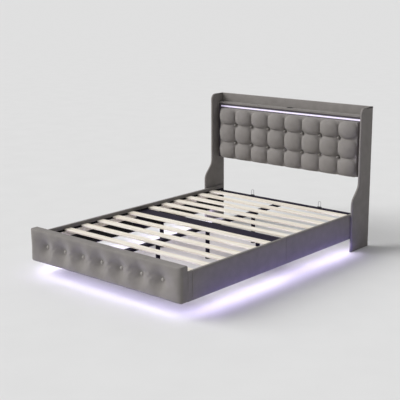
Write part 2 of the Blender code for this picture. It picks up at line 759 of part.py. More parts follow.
# Mattress hoops: a bent wire that stands on the head rail, through a clip
def make_hoops():
    reach = (HOOP_WIDTH - HOOP_WIRE) / 2
    crown = HOOP_HEIGHT - HOOP_WIRE / 2 - reach
    route = [(reach, GAP)]
    for step in range(WIRE_STEPS + 1):
        angle = math.pi * step / WIRE_STEPS
        route.append((reach * math.cos(angle), crown + reach * math.sin(angle)))
    route.append((-reach, GAP))
    for side, word in ((-1, "left"), (1, "right")):
        place = Vector((side * HOOP_OFFSET, HEAD_RAIL_MIDDLE, SEAT))
        curve = bpy.data.curves.new("mattress_hoop_" + word, "CURVE")
        curve.dimensions = "3D"
        curve.bevel_depth = HOOP_WIRE / 2
        curve.bevel_resolution = 2
        curve.use_fill_caps = True
        line = curve.splines.new("POLY")
        line.points.add(len(route) - 1)
        for point, (across, up) in zip(line.points, route):
            point.co = (across, 0, up, 1)
        hoop = meshed(add_object("mattress_hoop_" + word, curve, place))
        finish_piece(smooth(hoop), "wire steel")
        make_hoop_clip(word, place, reach)


def make_hoop_clip(word, place, reach):
    half = HOOP_WIDTH / 2 + CLIP_MARGIN
    clip = block(
        "hoop_clip_" + word,
        place + Vector((-half, -CLIP_DEPTH / 2, GAP)),
        place + Vector((half, CLIP_DEPTH / 2, GAP + CLIP_HEIGHT)),
    )
    for side in (-1, 1):
        bore = cylinder(
            "clip_bore",
            HOOP_WIRE / 2 + GAP,
            -OVERRUN,
            GAP + CLIP_HEIGHT + OVERRUN,
            place + Vector((side * reach, 0, 0)),
            CUTTERS,
        )
        combine(clip, bore, "DIFFERENCE")
    finish_piece(clip, "black plastic")


# LED strips under the rails and the footboard, and the controller that feeds them
def make_floor_lights():
    top = RAIL_CLEARANCE - GAP
    bottom = top - STRIP_THICKNESS
    for side, word in ((-1, "left"), (1, "right")):
        near, far = ordered(side, RAIL_INNER + STRIP_INSET, RAIL_INNER + STRIP_INSET + STRIP_WIDTH)
        strip = block(
            "led_strip_" + word,
            (near, FOOT_BACK + STRIP_END_MARGIN, bottom),
            (far, HEAD_RAIL_FRONT - STRIP_END_MARGIN, top),
        )
        finish_piece(strip, "diffuser")
    front = FOOT_FACE + FOOTBOARD_EDGE + STRIP_SETBACK
    strip = block(
        "led_strip_foot",
        (-RAIL_INNER + STRIP_END_MARGIN, front, bottom),
        (RAIL_INNER - STRIP_END_MARGIN, front + STRIP_WIDTH, top),
    )
    finish_piece(strip, "diffuser")


def make_controller():
    front = HEAD_RAIL_BACK + GAP
    middle = SEAT - CONTROLLER_DROP - CONTROLLER_HEIGHT / 2
    low = Vector((CONTROLLER_OFFSET, front, middle - CONTROLLER_HEIGHT / 2))
    size = Vector((CONTROLLER_LENGTH, CONTROLLER_DEPTH, CONTROLLER_HEIGHT))
    controller = board("led_controller", low, low + size, "black plastic")
    centre = low.y + CONTROLLER_DEPTH / 2
    inlet = block(
        "power_inlet",
        (low.x - OVERRUN, centre - INLET_HEIGHT / 2, middle - INLET_WIDTH / 2),
        (low.x + INLET_DEPTH, centre + INLET_HEIGHT / 2, middle + INLET_WIDTH / 2),
        CUTTERS,
    )
    combine(controller, inlet, "DIFFERENCE")


clear_scene()
make_wings()
make_headboard_box()
make_shelf()
make_headboard_led()
make_headboard_pad()
make_charging_station()
make_footboard()
make_sides()
make_beams()
make_slats()
make_legs()
make_hoops()
make_floor_lights()
make_controller()
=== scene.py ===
import json
import math

import bmesh
import bpy
import numpy as np
from mathutils import Matrix, Vector


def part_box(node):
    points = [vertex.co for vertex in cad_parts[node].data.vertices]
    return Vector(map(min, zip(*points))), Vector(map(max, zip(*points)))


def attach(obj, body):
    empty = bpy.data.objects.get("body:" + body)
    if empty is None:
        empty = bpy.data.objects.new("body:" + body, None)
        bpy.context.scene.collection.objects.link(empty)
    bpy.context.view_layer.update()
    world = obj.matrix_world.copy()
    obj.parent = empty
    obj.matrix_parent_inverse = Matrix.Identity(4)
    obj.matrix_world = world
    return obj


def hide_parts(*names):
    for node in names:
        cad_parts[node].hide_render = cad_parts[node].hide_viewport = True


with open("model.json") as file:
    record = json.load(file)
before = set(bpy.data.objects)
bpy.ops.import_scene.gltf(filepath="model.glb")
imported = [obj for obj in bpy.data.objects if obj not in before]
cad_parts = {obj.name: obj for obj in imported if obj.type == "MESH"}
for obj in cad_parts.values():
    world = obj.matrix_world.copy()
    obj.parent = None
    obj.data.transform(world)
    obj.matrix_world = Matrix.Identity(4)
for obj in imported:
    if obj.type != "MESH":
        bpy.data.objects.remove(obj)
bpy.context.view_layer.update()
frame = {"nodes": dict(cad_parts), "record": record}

nodes = frame["nodes"]
bedBody = "bed_frame"
scene = bpy.context.scene
joinDecimals = 7
planeGap = 1e-6
tiny = 1e-9


# Linear channels of a hex colour, by the sRGB formula
def toLinear(hexColour):
    channels = [int(hexColour[start : start + 2], 16) / 255 for start in (1, 3, 5)]
    return [c / 12.92 if c <= 0.04045 else ((c + 0.055) / 1.055) ** 2.4 for c in channels]


# A shader node with its settings, and its inputs linked to a socket or set to a value
def addNode(tree, kind, settings=None, inputs=None):
    node = tree.nodes.new(kind)
    for name, value in (settings or {}).items():
        setattr(node, name, value)
    for name, value in (inputs or {}).items():
        if isinstance(value, bpy.types.NodeSocket):
            tree.links.new(value, node.inputs[name])
        else:
            node.inputs[name].default_value = value
    return node


# One step of arithmetic on two values
def mathNode(tree, operation, first, second=0.0):
    node = addNode(tree, "ShaderNodeMath", {"operation": operation}, {0: first, 1: second})
    return node.outputs[0]


# Sum of values, each times its weight
def weighted(tree, *parts):
    total = None
    for value, weight in parts:
        part = mathNode(tree, "MULTIPLY", value, weight)
        total = part if total is None else mathNode(tree, "ADD", total, part)
    return total


# Dot product of a vector and a direction
def alongOf(tree, vector, direction):
    inputs = {0: vector, 1: direction}
    return addNode(tree, "ShaderNodeVectorMath", {"operation": "DOT_PRODUCT"}, inputs).outputs["Value"]


# The piece's own coordinates, in metres
def ownPlace(tree):
    return addNode(tree, "ShaderNodeTexCoord").outputs["Object"]


# sin(2 pi d / pitch), with d the place's dot product with a direction
def threadWave(tree, place, direction, pitchMm):
    turns = mathNode(tree, "MULTIPLY", alongOf(tree, place, direction), 2000 * math.pi / pitchMm)
    return mathNode(tree, "SINE", turns)


# A noise whose blobs are about the given number of millimetres across
def noiseOf(tree, place, sizeMm, detail):
    inputs = {"Vector": place, "Scale": 1000 / sizeMm, "Detail": detail}
    return addNode(tree, "ShaderNodeTexNoise", None, inputs).outputs["Fac"]


# A noise over a place that is first scaled, less along X than along Y and Z, which draws it out along X
def drawnNoise(tree, stretch, inputs):
    mapped = addNode(tree, "ShaderNodeMapping", None, {"Vector": ownPlace(tree), "Scale": stretch})
    inputs = {"Vector": mapped.outputs[0], **inputs}
    return addNode(tree, "ShaderNodeTexNoise", None, inputs).outputs["Fac"]


# A colour between two tones: the dark one up to the low factor, the light one from the high factor on
def tones(tree, factor, darkHex, lightHex, low=0.3, high=0.7):
    ramp = addNode(tree, "ShaderNodeValToRGB", None, {"Fac": factor})
    ramp.color_ramp.elements[0].position = low
    ramp.color_ramp.elements[0].color = (*toLinear(darkHex), 1)
    ramp.color_ramp.elements[1].position = high
    ramp.color_ramp.elements[1].color = (*toLinear(lightHex), 1)
    return ramp.outputs["Color"]


def bumpOf(tree, height, depthMm, strength):
    inputs = {"Height": height, "Distance": depthMm / 1000, "Strength": strength}
    return addNode(tree, "ShaderNodeBump", None, inputs).outputs["Normal"]


def blankMaterial(name, shaderInputs):
    material = bpy.data.materials.new(name)
    material.use_nodes = True
    shader = material.node_tree.nodes["Principled BSDF"]
    for key, value in shaderInputs.items():
        shader.inputs[key].default_value = value
    return material, material.node_tree, shader


weave = {
    "threadMm": 1.6,
    "warp": (1.0, 1.0, 0.0),
    "weft": (0.35, -0.35, 1.0),
    "fuzzMm": 1.1,
    "patchMm": 60,
    "fuzzTone": 0.35,
    "patchTone": 0.65,
    "threadTone": 0.06,
    "fuzzHeight": 1.5,
    "depthMm": 0.25,
    "strength": 0.35,
}


# Woven polyester cloth: crossed threads, a little fuzz, and a tone that changes faintly from place to place
def makeCloth(name, darkHex, lightHex):
    settings = {
        "Roughness": 0.92,
        "Specular IOR Level": 0.15,
        "Sheen Weight": 0.10,
        "Sheen Roughness": 0.45,
    }
    material, tree, shader = blankMaterial(name, settings)
    place = ownPlace(tree)
    warp = threadWave(tree, place, weave["warp"], weave["threadMm"])
    weft = threadWave(tree, place, weave["weft"], weave["threadMm"])
    threads = mathNode(tree, "MULTIPLY", warp, weft)
    fuzz = noiseOf(tree, place, weave["fuzzMm"], detail=2.0)
    patches = noiseOf(tree, place, weave["patchMm"], detail=3.0)
    factor = weighted(
        tree, (fuzz, weave["fuzzTone"]), (patches, weave["patchTone"]), (threads, weave["threadTone"])
    )
    colour = tones(tree, factor, darkHex, lightHex, low=0.25, high=0.75)
    tree.links.new(colour, shader.inputs["Base Color"])
    height = weighted(tree, (threads, 1.0), (fuzz, weave["fuzzHeight"]))
    tree.links.new(bumpOf(tree, height, weave["depthMm"], weave["strength"]), shader.inputs["Normal"])
    return material


# Grey satin over a metal button: smoother and shinier than the cloth round it, and lighter in tone as a
# painted highlight for buttons that sit in shade in their pits
def makeSatin():
    settings = {"Roughness": 0.42, "Specular IOR Level": 0.5, "Sheen Weight": 0.1}
    material, tree, shader = blankMaterial("grey satin button cover with painted highlight", settings)
    place = ownPlace(tree)
    threads = threadWave(tree, place, direction=(1.0, 0.0, 0.6), pitchMm=0.9)
    patches = noiseOf(tree, place, sizeMm=6, detail=2.0)
    factor = weighted(tree, (patches, 1.0), (threads, 0.1))
    tree.links.new(tones(tree, factor, "#8A8681", "#9A9691"), shader.inputs["Base Color"])
    tree.links.new(bumpOf(tree, threads, depthMm=0.05, strength=0.3), shader.inputs["Normal"])
    return material


# Sanded pine: long streaks along X, which is the slats' length, with finer pores between them
def makePine():
    material, tree, shader = blankMaterial("sanded pine", {"Roughness": 0.62})
    stretch = (0.9, 22.0, 22.0)
    streaks = drawnNoise(tree, stretch, {"Scale": 3.0, "Detail": 5.0, "Distortion": 0.6})
    pores = drawnNoise(tree, stretch, {"Scale": 16.0, "Detail": 2.0})
    factor = weighted(tree, (streaks, 0.7), (pores, 0.3))
    colour = tones(tree, factor, "#D6CAB6", "#F0EADF", low=0.36, high=0.56)
    tree.links.new(colour, shader.inputs["Base Color"])
    tree.links.new(bumpOf(tree, pores, depthMm=0.2, strength=0.25), shader.inputs["Normal"])
    return material


# Raw plywood, with its layers showing through the thickness (Y) as bands
def makePlywood():
    material, tree, shader = blankMaterial("raw plywood", {"Roughness": 0.75})
    place = ownPlace(tree)
    layers = threadWave(tree, place, direction=(0.0, 1.0, 0.0), pitchMm=3.0)
    grain = noiseOf(tree, place, sizeMm=12, detail=4.0)
    factor = weighted(tree, (layers, 0.15), (grain, 1.0))
    tree.links.new(tones(tree, factor, "#B4935F", "#D9C29A"), shader.inputs["Base Color"])
    return material


# Paint, plastic or wire: two close tones in broad patches, and a fine grain in its roughness and its relief
def makeSkin(name, darkHex, lightHex, spec):
    inputs = {"Metallic": spec.get("metallic", 0.0), "Specular IOR Level": spec.get("gloss", 0.5)}
    material, tree, shader = blankMaterial(name, inputs)
    place = ownPlace(tree)
    grain = noiseOf(tree, place, spec["grainMm"], detail=3.0)
    patches = noiseOf(tree, place, sizeMm=90, detail=2.0)
    tree.links.new(tones(tree, patches, darkHex, lightHex), shader.inputs["Base Color"])
    roughnessSpread = 0.2
    worn = mathNode(tree, "MULTIPLY", grain, roughnessSpread)
    smoothest = spec["roughness"] - roughnessSpread / 2
    tree.links.new(mathNode(tree, "ADD", worn, smoothest), shader.inputs["Roughness"])
    tree.links.new(bumpOf(tree, grain, spec["depthMm"], strength=0.4), shader.inputs["Normal"])
    return material


# Anodised aluminium with fine lines drawn along its length (X)
def makeAluminium():
    material, tree, shader = blankMaterial("anodised aluminium", {"Metallic": 1.0})
    stretch = (1.0, 60.0, 60.0)
    lines = drawnNoise(tree, stretch, {"Scale": 40.0})
    tree.links.new(tones(tree, lines, "#A9ACB0", "#C6C9CD"), shader.inputs["Base Color"])
    greatestRoughness = 0.6
    tree.links.new(mathNode(tree, "MULTIPLY", lines, greatestRoughness), shader.inputs["Roughness"])
    return material


diode = {"pitchMm": 17.0, "swell": 0.08, "facingCosine": 0.5}


# Lit silicone diffuser in an opaque sleeve: light leaves only by the face that looks outward. The light of
# the diodes behind it swells and fades once in each diode pitch along the given direction. Where a height and
# a reach are given, it is brightest at that height and fades to its edges by 1 - (distance / reach)^2.
def makeDiffuser(name, hexColour, strength, along, outward, height=None, reach=None):
    material, tree, shader = blankMaterial(name, {"Roughness": 0.35})
    shader.inputs["Base Color"].default_value = (*toLinear("#F1EAFB"), 1)
    shader.inputs["Emission Color"].default_value = (*toLinear(hexColour), 1)
    swell = threadWave(tree, ownPlace(tree), along, diode["pitchMm"])
    level = mathNode(tree, "ADD", mathNode(tree, "MULTIPLY", swell, diode["swell"] * strength), strength)
    normal = addNode(tree, "ShaderNodeNewGeometry").outputs["Normal"]
    lit = mathNode(tree, "GREATER_THAN", alongOf(tree, normal, outward), diode["facingCosine"])
    if height is not None:
        apart = addNode(tree, "ShaderNodeSeparateXYZ", None, {0: ownPlace(tree)}).outputs["Z"]
        apart = mathNode(tree, "DIVIDE", mathNode(tree, "SUBTRACT", apart, height), reach)
        fade = mathNode(tree, "SUBTRACT", 1.0, mathNode(tree, "MULTIPLY", apart, apart))
        lit = mathNode(tree, "MULTIPLY", lit, mathNode(tree, "MAXIMUM", fade, 0.0))
    tree.links.new(mathNode(tree, "MULTIPLY", level, lit), shader.inputs["Emission Strength"])
    return material


greyCloth = makeCloth("grey woven cloth", "#787471", "#878380")
# Black backing cloth, on the footboard's board and the rails' inner faces; on the rails it is also painted
# shade below the slats
backingAndShadeCloth = makeCloth("black backing cloth", "#161517", "#201F21")
# Darker, purple-tinted cloth for the headboard's front board: painted shade under the shelf's lip, and
# painted purple light from the strip below it
shadedFrontBoardCloth = makeCloth("front board cloth with painted shade", "#4A454C", "#565158")
satin = makeSatin()
pine = makePine()
plywood = makePlywood()
steelSkin = {"roughness": 0.7, "grainMm": 1.5, "depthMm": 0.08, "gloss": 0.1}
wireSkin = {"roughness": 0.3, "grainMm": 3.0, "depthMm": 0.02, "metallic": 1.0}
plasticSkin = {"roughness": 0.5, "grainMm": 0.8, "depthMm": 0.05}
tapeSkin = {"roughness": 0.85, "grainMm": 1.2, "depthMm": 0.15, "gloss": 0.1}
# The steel's purple tint and part of its lightness are painted light: the floor strips' purple glow on the
# beams and legs under the bed
blackSteelPaintedGlow = makeSkin("black powder-coated steel with painted purple glow", "#1C1827", "#241F2F", steelSkin)
brightWire = makeSkin("bright steel wire", "#8E8E92", "#A2A2A6", wireSkin)
blackPlastic = makeSkin("moulded black plastic", "#151517", "#1D1D20", plasticSkin)
hookTape = makeSkin("black nylon hook tape", "#0B0A0C", "#141316", tapeSkin)
aluminium = makeAluminium()

# One direction does for the strips along X and those along Y: halfway between the two
floorStrip = {"along": (0.7071, 0.7071, 0.0), "outward": (0.0, 0.0, -1.0)}
floorLight = makeDiffuser("lit rail strip", "#DFD2FF", strength=21.0, **floorStrip)
footLight = makeDiffuser("lit foot strip", "#DFD2FF", strength=10.0, **floorStrip)
stripLow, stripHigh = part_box("headboard_led_strip")
headLight = makeDiffuser(
    "lit headboard strip",
    "#DCCCFF",
    strength=0.48,
    along=(1.0, 0.0, 0.0),
    outward=(0.0, -1.0, 0.0),
    height=(stripLow.z + stripHigh.z) / 2,
    reach=0.0058,
)
print("materials made")

materialOf = {
    "grey_cloth": greyCloth,
    "pale_timber": pine,
    "plywood": plywood,
    "black_steel": blackSteelPaintedGlow,
    "wire_steel": brightWire,
    "led_aluminium": aluminium,
    "black_plastic": blackPlastic,
    "lit_diffuser": floorLight,
}
slotOf = {entry["node"]: entry["material_slot"] for entry in frame["record"]["subparts"]}
for nodeName, node in nodes.items():
    node.data.materials.clear()
    node.data.materials.append(materialOf[slotOf[nodeName]])
nodes["headboard_led_strip"].data.materials[0] = headLight
nodes["led_strip_foot"].data.materials[0] = footLight
# Painted shade: the front board's darker cloth stands for the shadow under the shelf's lip
nodes["headboard_front_board"].data.materials[0] = shadedFrontBoardCloth
nodes["footboard_board"].data.materials[0] = backingAndShadeCloth


# A smooth-shaded object from points and faces, in one material slot
def newPiece(name, points, faces, material):
    mesh = bpy.data.meshes.new(name)
    mesh.from_pydata(np.asarray(points).tolist(), [], [list(face) for face in faces])
    mesh.polygons.foreach_set("use_smooth", np.ones(len(mesh.polygons), bool))
    mesh.update()
    piece = bpy.data.objects.new(name, mesh)
    scene.collection.objects.link(piece)
    piece.data.materials.append(material)
    return piece


# The four corners of each cell of a grid of points, numbered row by row; a wrapped row ends where it starts
def gridQuads(rows, columns, wrapped=False):
    index = np.arange(rows * columns).reshape(rows, columns)
    if wrapped:
        index = np.concatenate([index, index[:, :1]], axis=1)
    corners = [index[:-1, :-1], index[:-1, 1:], index[1:, 1:], index[1:, :-1]]
    return np.stack(corners, axis=-1).reshape(-1, 4)


# Points nearer than a distance become one, and every face looks outward
def weld(piece, distance):
    shape = bmesh.new()
    shape.from_mesh(piece.data)
    bmesh.ops.remove_doubles(shape, verts=shape.verts, dist=distance)
    bmesh.ops.recalc_face_normals(shape, faces=shape.faces)
    shape.to_mesh(piece.data)
    shape.free()


# The skin of a box cut at the given places along X, Y and Z: six grids, joined where they meet
def boxSkin(xs, ys, zs):
    cuts = [np.asarray(xs), np.asarray(ys), np.asarray(zs)]
    points = []
    quads = []
    count = 0
    for axis in range(3):
        first = (axis + 1) % 3
        second = (axis + 2) % 3
        for end in (0, -1):
            across, up = np.meshgrid(cuts[first], cuts[second], indexing="ij")
            side = np.empty((across.size, 3))
            side[:, axis] = cuts[axis][end]
            side[:, first] = across.ravel()
            side[:, second] = up.ravel()
            made = gridQuads(len(cuts[first]), len(cuts[second])) + count
            quads.append(made if end == 0 else made[:, ::-1])
            points.append(side)
            count += len(side)
    points = np.concatenate(points)
    quads = np.concatenate(quads)
    rounded = np.round(points, joinDecimals)
    kept, joined = np.unique(rounded, axis=0, return_index=True, return_inverse=True)[1:]
    return points[kept], joined.reshape(-1)[quads]


# Cuts along one side of a box: radius (1 - tan a), a from 45 to 0 degrees, at both ends, even cells between
def sideCuts(low, high, radius, turns, cells):
    turn = radius * (1 - np.tan(np.linspace(math.pi / 4, 0, turns + 1)))
    middle = np.linspace(low + radius, high - radius, cells + 1)[1:-1]
    return np.concatenate([low + turn, middle, (high - turn)[::-1]])


# Each point of a box's skin goes to the sphere of the edge radius about the nearest point of the inset box
def roundedBox(points, low, high, radius):
    low = np.asarray(low)
    high = np.asarray(high)
    core = np.clip(points, low + radius, high - radius)
    away = points - core
    return core + away * radius / np.linalg.norm(away, axis=1, keepdims=True)


crownPower = 6
halfToFace = 0.499
edgeTurns = 4


# A board wrapped in thin foam and cloth: a rounded box whose two broad faces rise by
# crown (1 - |2a - 1|^p)(1 - |2b - 1|^p), with a and b the shares across and up the face and p the crown power
def wrappedBoard(name, spec):
    low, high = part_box(spec["node"])
    low = np.array(low)
    high = np.array(high)
    thin = spec["thin"]
    crown = spec["crown"]
    low[thin] += crown
    high[thin] -= crown
    cuts = []
    for axis in range(3):
        cells = max(2, int((high[axis] - low[axis]) / spec["cell"])) if axis != thin else 2
        cuts.append(sideCuts(low[axis], high[axis], spec["radius"], edgeTurns, cells))
    points, quads = boxSkin(*cuts)
    share = (points - low) / (high - low)
    points = roundedBox(points, low, high, spec["radius"])
    broad = [axis for axis in range(3) if axis != thin]
    rise = np.prod(1 - np.abs(2 * share[:, broad] - 1) ** crownPower, axis=1)
    fromMiddle = share[:, thin] - 0.5
    side = np.sign(fromMiddle) * (np.abs(fromMiddle) > halfToFace)
    points[:, thin] += crown * rise * side
    piece = newPiece(name, points, quads, greyCloth)
    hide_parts(spec["node"])
    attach(piece, bedBody)
    return piece


inwardCosine = 0.7


# The rail's side that looks into the bed is covered with black backing cloth below the given height, which
# also paints in the deep shade under the slats
def backInsideWithPaintedShade(piece, height):
    piece.data.materials.append(backingAndShadeCloth)
    mesh = piece.data
    centres = np.empty(len(mesh.polygons) * 3)
    normals = np.empty(len(mesh.polygons) * 3)
    mesh.polygons.foreach_get("center", centres)
    mesh.polygons.foreach_get("normal", normals)
    centres = centres.reshape(-1, 3)
    inward = -np.sign(centres[:, 0]) * normals.reshape(-1, 3)[:, 0] > inwardCosine
    mesh.polygons.foreach_set("material_index", (inward & (centres[:, 2] < height)).astype(np.int32))
    mesh.update()


railBoard = {"thin": 0, "crown": 0.0012, "radius": 0.0055, "cell": 0.02}
for railName in ("rail_front_left", "rail_front_right", "rail_rear_left", "rail_rear_right"):
    railPiece = wrappedBoard(railName + "_cover", {**railBoard, "node": railName})
    backInsideWithPaintedShade(railPiece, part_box("slat_01")[0].z)
for cornerName in ("foot_corner_left", "foot_corner_right"):
    wrappedBoard(cornerName + "_cover", {**railBoard, "node": cornerName, "cell": 0.01})
backPanel = {"node": "headboard_back_panel", "thin": 1, "crown": 0.001, "radius": 0.005, "cell": 0.02}
wrappedBoard("back_panel_cover", backPanel)
print("rails and back panel covered")


# Wing covers: what makeWing takes, in metres
wingCover = {
    "footDepth": 0.2475,
    "topDepth": 0.158,
    "curveStart": 0.355,
    "curveHeight": 0.190,
    "cornerRadius": 0.045,
    "height": 1.095,
    "edgeRadius": 0.0085,
    "edgeSteps": 6,
    "columns": 10,
    "footRows": 14,
    "curveRows": 25,
    "upperRows": 20,
    "cornerRows": 13,
    "weld": 0.0002,
}


# Heights and depths of the wing's front edge. Its depth runs from the foot's to the top's by
# s - sin(2 pi s) / (2 pi), s going from 0 to 1 up the curve, and ends in a quarter circle at the top corner.
def wingRows(spec):
    low = np.linspace(0, spec["curveStart"], spec["footRows"])[:-1]
    share = np.linspace(0, 1, spec["curveRows"])
    drawnBack = share - np.sin(2 * math.pi * share) / (2 * math.pi)
    depth = spec["footDepth"] + (spec["topDepth"] - spec["footDepth"]) * drawnBack
    curveTop = spec["curveStart"] + spec["curveHeight"]
    cornerFoot = spec["height"] - spec["cornerRadius"]
    straight = np.linspace(curveTop, cornerFoot, spec["upperRows"])[1:-1]
    turn = np.linspace(0, math.pi / 2, spec["cornerRows"])
    heights = np.concatenate([
        low,
        spec["curveStart"] + spec["curveHeight"] * share,
        straight,
        cornerFoot + spec["cornerRadius"] * np.sin(turn),
    ])
    depths = np.concatenate([
        np.full(len(low), spec["footDepth"]),
        depth,
        np.full(len(straight), spec["topDepth"]),
        spec["topDepth"] - spec["cornerRadius"] * (1 - np.cos(turn)),
    ])
    return heights, depths


# The outline runs along the foot, up the front edge, along the top and down the straight back. The rim is the
# outline moved inward by r (1 - sin a) at r (1 - cos a) in from the plane of each broad face, with r the edge
# radius. Each broad face is filled in straight lines from its back to its front edge points.
def makeWing(name, nodeName, spec):
    low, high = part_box(nodeName)
    heights, depths = wingRows(spec)
    rows = len(heights)
    columns = spec["columns"] + 1
    share = np.linspace(0, 1, columns)
    bottom = np.stack([share * depths[0], np.zeros(columns)], axis=1)
    front = np.stack([depths, heights], axis=1)[1:-1]
    top = np.stack([share[::-1] * depths[-1], np.full(columns, heights[-1])], axis=1)
    back = np.stack([np.zeros(rows), heights], axis=1)[1:-1][::-1]
    outline = np.concatenate([bottom, front, top, back])
    before = np.roll(outline, 1, axis=0)
    after = np.roll(outline, -1, axis=0)
    inward = np.stack([before[:, 1] - after[:, 1], after[:, 0] - before[:, 0]], axis=1)
    inward /= np.linalg.norm(inward, axis=1, keepdims=True)
    radius = spec["edgeRadius"]
    angle = np.linspace(0, math.pi / 2, spec["edgeSteps"] + 1)
    inset = radius * (1 - np.sin(angle))
    fromFace = radius * (1 - np.cos(angle))
    thickness = high[0] - low[0]
    ringInset = np.concatenate([inset, inset[::-1]])
    ringX = np.concatenate([low[0] + fromFace, low[0] + thickness - fromFace[::-1]])
    count = len(outline)
    rings = np.empty((len(ringX), count, 3))
    rings[:, :, 0] = ringX[:, None]
    moved = outline[None] + inward[None] * ringInset[:, None, None]
    rings[:, :, 1] = high[1] - moved[:, :, 0]
    rings[:, :, 2] = moved[:, :, 1]
    points = [rings.reshape(-1, 3)]
    quads = [gridQuads(len(ringX), count, wrapped=True)]
    offset = rings.size // 3
    frontIndex = np.arange(columns - 1, columns - 1 + rows)
    backIndex = np.concatenate([[0], np.arange(count - 1, count - rows + 1, -1), [columns * 2 + rows - 3]])
    for ring, flip in ((0, True), (len(ringX) - 1, False)):
        start = rings[ring][backIndex]
        end = rings[ring][frontIndex]
        filled = start[:, None] + (end - start)[:, None] * share[None, :, None]
        made = gridQuads(rows, columns) + offset
        quads.append(made[:, ::-1] if flip else made)
        points.append(filled.reshape(-1, 3))
        offset += filled.size // 3
    piece = newPiece(name, np.concatenate(points), np.concatenate(quads), greyCloth)
    weld(piece, spec["weld"])
    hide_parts(nodeName)
    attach(piece, bedBody)


makeWing("left_wing_cover", "left_wing", wingCover)
makeWing("right_wing_cover", "right_wing", wingCover)
print("wings covered")


clothRun = {"frames": 20, "quality": 6, "mass": 0.2}


# Cloth under pressure from inside, with the pinned points held. Afterwards no point is left farther than the
# cap from where it began.
def inflate(piece, pinned, spec):
    group = piece.vertex_groups.new(name="pinned")
    group.add([int(index) for index in np.flatnonzero(pinned)], 1.0, "REPLACE")
    started = np.empty(len(piece.data.vertices) * 3)
    piece.data.vertices.foreach_get("co", started)
    cloth = piece.modifiers.new("Cloth", "CLOTH")
    cloth.settings.vertex_group_mass = "pinned"
    cloth.settings.quality = clothRun["quality"]
    cloth.settings.mass = clothRun["mass"]
    cloth.settings.tension_stiffness = spec["stiffness"]
    cloth.settings.compression_stiffness = spec["stiffness"]
    cloth.settings.shear_stiffness = spec["stiffness"] / 2
    cloth.settings.bending_stiffness = spec["bending"]
    cloth.settings.use_pressure = True
    cloth.settings.uniform_pressure_force = spec["pressure"]
    cloth.settings.shrink_min = -spec["spare"]
    cloth.settings.effector_weights.gravity = 0
    cloth.collision_settings.use_collision = False
    for frameNumber in range(1, clothRun["frames"] + 1):
        scene.frame_set(frameNumber)
    graph = bpy.context.evaluated_depsgraph_get()
    ended = np.empty(len(started))
    swollen = piece.evaluated_get(graph).to_mesh()
    swollen.vertices.foreach_get("co", ended)
    piece.evaluated_get(graph).to_mesh_clear()
    piece.modifiers.remove(cloth)
    scene.frame_set(1)
    moved = (ended - started).reshape(-1, 3)
    far = np.linalg.norm(moved, axis=1, keepdims=True)
    moved *= np.minimum(1, spec["cap"] / np.maximum(far, tiny))
    piece.data.vertices.foreach_set("co", (started.reshape(-1, 3) + moved).ravel())
    piece.data.update()
    print(piece.name, "inflated, moved at most", round(float(far.max()) * 1000, 1), "mm")


# One subdivision, applied, that keeps the corners of an open edge
def smoothOnce(piece):
    modifier = piece.modifiers.new("Subdivision", "SUBSURF")
    modifier.levels = 1
    modifier.render_levels = 1
    modifier.boundary_smooth = "PRESERVE_CORNERS"
    bpy.context.view_layer.update()
    graph = bpy.context.evaluated_depsgraph_get()
    mesh = bpy.data.meshes.new_from_object(piece.evaluated_get(graph))
    piece.modifiers.clear()
    piece.data = mesh


backWeld = 0.00005
backSharp = math.radians(70)


# A cover with an open back is closed: its edge turns in to a pocket of the given size and depth
def closeBack(piece, back, pocket):
    shape = bmesh.new()
    shape.from_mesh(piece.data)
    rim = [edge for edge in shape.edges if edge.is_boundary]
    for vertex in {vertex for edge in rim for vertex in edge.verts}:
        vertex.co.y = back
    for depth in (0, pocket["depth"]):
        made = bmesh.ops.extrude_edge_only(shape, edges=rim)["geom"]
        for vertex in [item for item in made if isinstance(item, bmesh.types.BMVert)]:
            vertex.co.x = min(max(vertex.co.x, -pocket["halfWidth"]), pocket["halfWidth"])
            vertex.co.z = min(max(vertex.co.z, pocket["low"]), pocket["high"])
            vertex.co.y = back - depth
        rim = [item for item in made if isinstance(item, bmesh.types.BMEdge) and item.is_boundary]
    bmesh.ops.remove_doubles(shape, verts=shape.verts, dist=backWeld)
    bmesh.ops.holes_fill(shape, edges=[edge for edge in shape.edges if edge.is_boundary], sides=0)
    bmesh.ops.recalc_face_normals(shape, faces=shape.faces)
    for face in shape.faces:
        face.smooth = True
    shape.to_mesh(piece.data)
    shape.free()
    piece.data.set_sharp_from_angle(angle=backSharp)


# The front and sides of a box skin, without its back
def openBack(points, quads, back):
    atBack = points[:, 1] > back - planeGap
    kept = quads[~atBack[quads].all(axis=1)]
    used, joined = np.unique(kept, return_inverse=True)
    return points[used], joined.reshape(-1, 4)


# Headboard pad: 8 by 3 tufts drawn in along stitched seams, and more deeply where the seams cross
padSpec = {
    "halfWidth": 0.677,
    "bottom": 0.552,
    "top": 0.977,
    "front": 0.936,
    "back": 1.0047,
    "columns": 8,
    "rowShares": (0.331, 0.357, 0.312),
    "cellsPerTuft": 16,
    "evenShare": 0.3,
    "sideRows": 5,
    "seamDepth": 0.032,
    "edgeDepth": 0.036,
    "edgeReach": 0.02,
    "pitDepth": 0.020,
    "pitRadius": 0.018,
    "notch": 0.006,
    "notchWidth": 0.012,
    "endPower": 12,
    "sidePower": 24,
    "cornerRadius": 0.022,
    "squareness": 2.2,
    "cornerFill": 0.2,
    "fullness": 0.5,
    "edgePower": 0.25,
    "seamPin": 0.0005,
    "stiffness": 12.0,
    "bending": 0.3,
    "pressure": 4.0,
    "spare": 0.01,
    "cap": 0.005,
    "pocket": {"halfWidth": 0.6643, "low": 0.5607, "high": 0.9673, "depth": 0.0123},
}
padHeight = padSpec["top"] - padSpec["bottom"]
padColumns = np.linspace(-padSpec["halfWidth"], padSpec["halfWidth"], padSpec["columns"] + 1)
